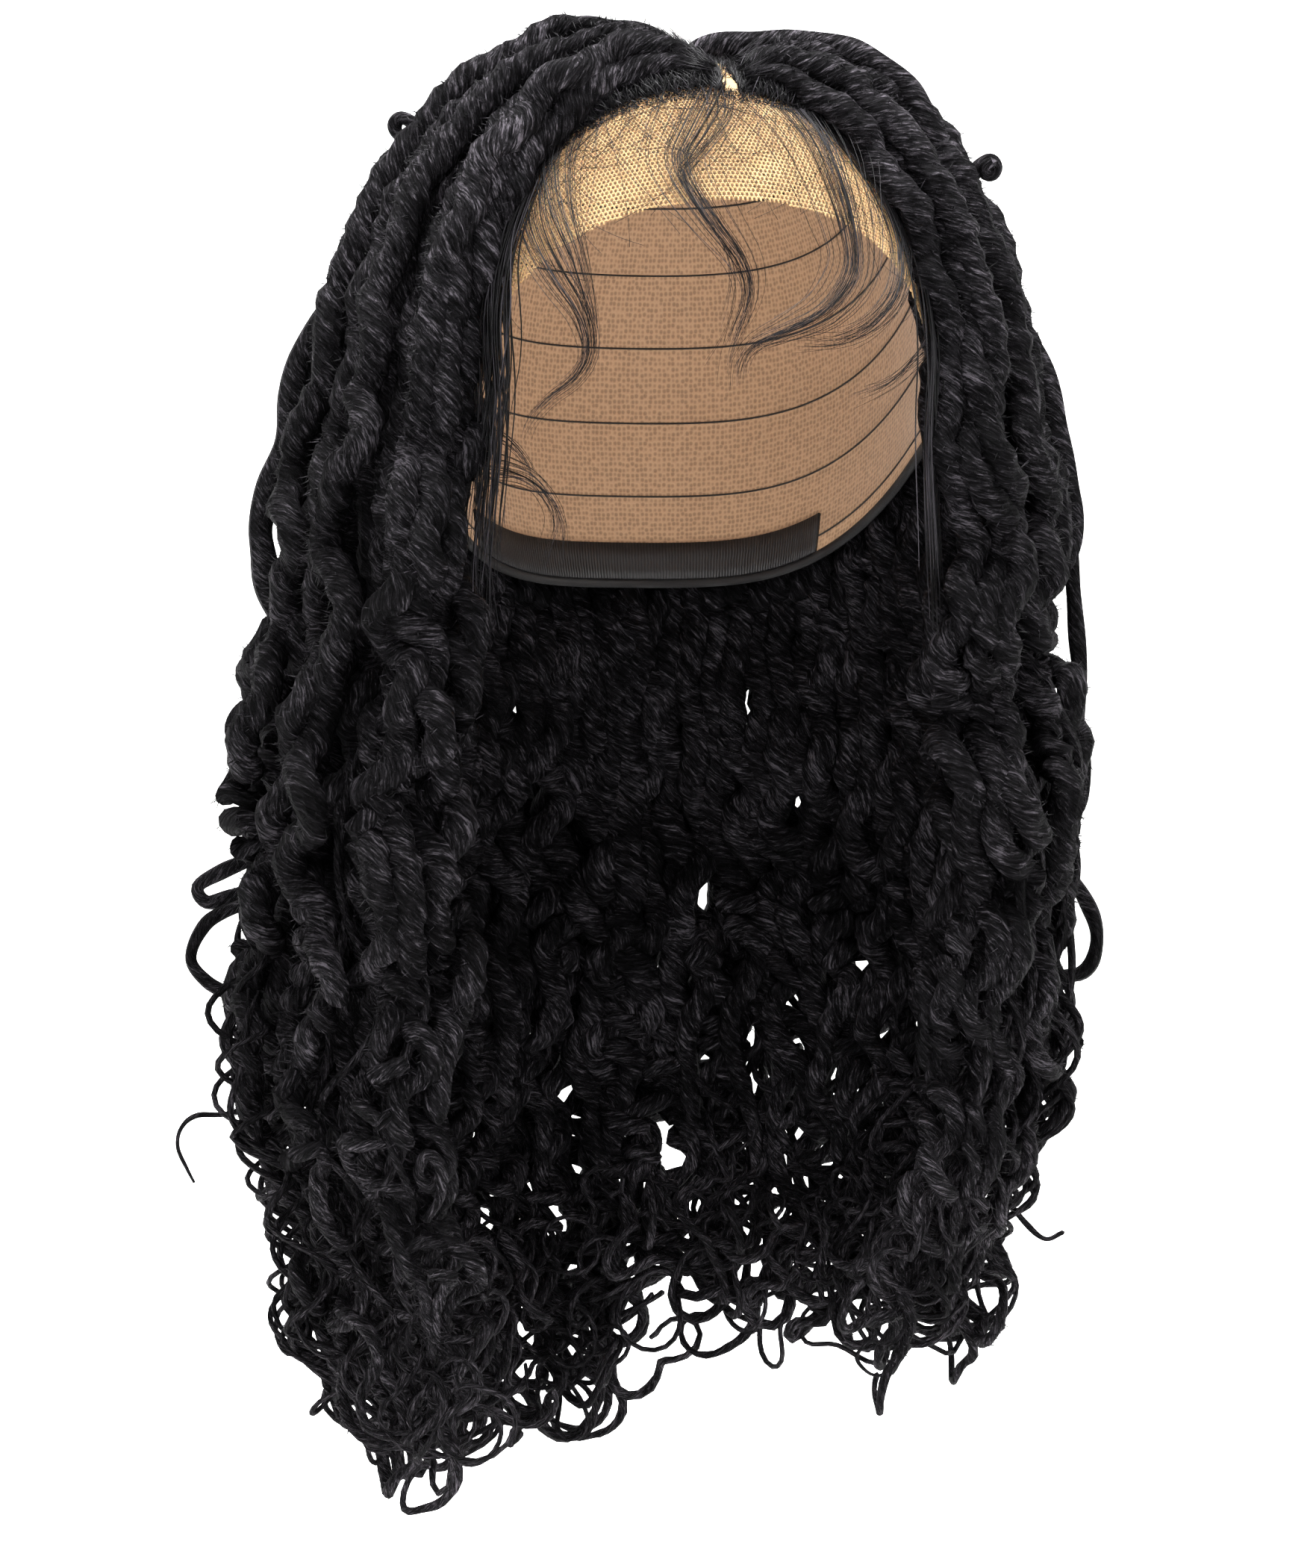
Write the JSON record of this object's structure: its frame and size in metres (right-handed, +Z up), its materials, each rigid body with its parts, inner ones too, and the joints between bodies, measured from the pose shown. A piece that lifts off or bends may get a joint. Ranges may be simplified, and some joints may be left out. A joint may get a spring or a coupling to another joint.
{
  "type": "braid wig",
  "caption": "Worn wig of long wrapped locs: a cap open at the face and neck, a sheer lace front, a parting and layers of wavy hanging locs with curled ends.",
  "frame": {"origin": "inside of the cap's crown, where the wearer's head bears", "axes": "+Z up along the upright head, -Y the way the face looks, +X the wearer's left"},
  "size_m": [0.2744, 0.2464, 0.475],
  "materials": {
    "cap_net": "black stretch net, matte",
    "lace": "sheer tan hexagonal net, matte",
    "loc_hair": "off-black synthetic fibre wrapped round each loc, low sheen",
    "loose_hair": "loose off-black synthetic fibre, soft sheen"
  },
  "bodies": {
    "root": {"cap": "cap_net", "lace_front": "lace", "parting_lace": "lace", "hairline_roots": "loose_hair", "temple_lock_left": "loose_hair", "temple_lock_right": "loose_hair", "loc_inner_left_1": "loc_hair", "loc_inner_left_2": "loc_hair", "loc_inner_left_3": "loc_hair", "loc_inner_left_4": "loc_hair", "loc_inner_left_5": "loc_hair", "loc_inner_left_6": "loc_hair", "loc_inner_left_7": "loc_hair", "loc_inner_left_8": "loc_hair", "loc_inner_left_9": "loc_hair", "loc_middle_left_1": "loc_hair", "loc_middle_left_2": "loc_hair", "loc_middle_left_3": "loc_hair", "loc_middle_left_4": "loc_hair", "loc_middle_left_5": "loc_hair", "loc_middle_left_6": "loc_hair", "loc_middle_left_7": "loc_hair", "loc_middle_left_8": "loc_hair", "loc_middle_left_9": "loc_hair", "loc_outer_left_1": "loc_hair", "loc_outer_left_2": "loc_hair", "loc_outer_left_3": "loc_hair", "loc_outer_left_4": "loc_hair", "loc_outer_left_5": "loc_hair", "loc_outer_left_6": "loc_hair", "loc_outer_left_7": "loc_hair", "loc_outer_left_8": "loc_hair", "loc_outer_left_9": "loc_hair", "loc_inner_right_1": "loc_hair", "loc_inner_right_2": "loc_hair", "loc_inner_right_3": "loc_hair", "loc_inner_right_4": "loc_hair", "loc_inner_right_5": "loc_hair", "loc_inner_right_6": "loc_hair", "loc_inner_right_7": "loc_hair", "loc_inner_right_8": "loc_hair", "loc_inner_right_9": "loc_hair", "loc_middle_right_1": "loc_hair", "loc_middle_right_2": "loc_hair", "loc_middle_right_3": "loc_hair", "loc_middle_right_4": "loc_hair", "loc_middle_right_5": "loc_hair", "loc_middle_right_6": "loc_hair", "loc_middle_right_7": "loc_hair", "loc_middle_right_8": "loc_hair", "loc_middle_right_9": "loc_hair", "loc_outer_right_1": "loc_hair", "loc_outer_right_2": "loc_hair", "loc_outer_right_3": "loc_hair", "loc_outer_right_4": "loc_hair", "loc_outer_right_5": "loc_hair", "loc_outer_right_6": "loc_hair", "loc_outer_right_7": "loc_hair", "loc_outer_right_8": "loc_hair", "loc_outer_right_9": "loc_hair"}
  },
  "joints": []
}
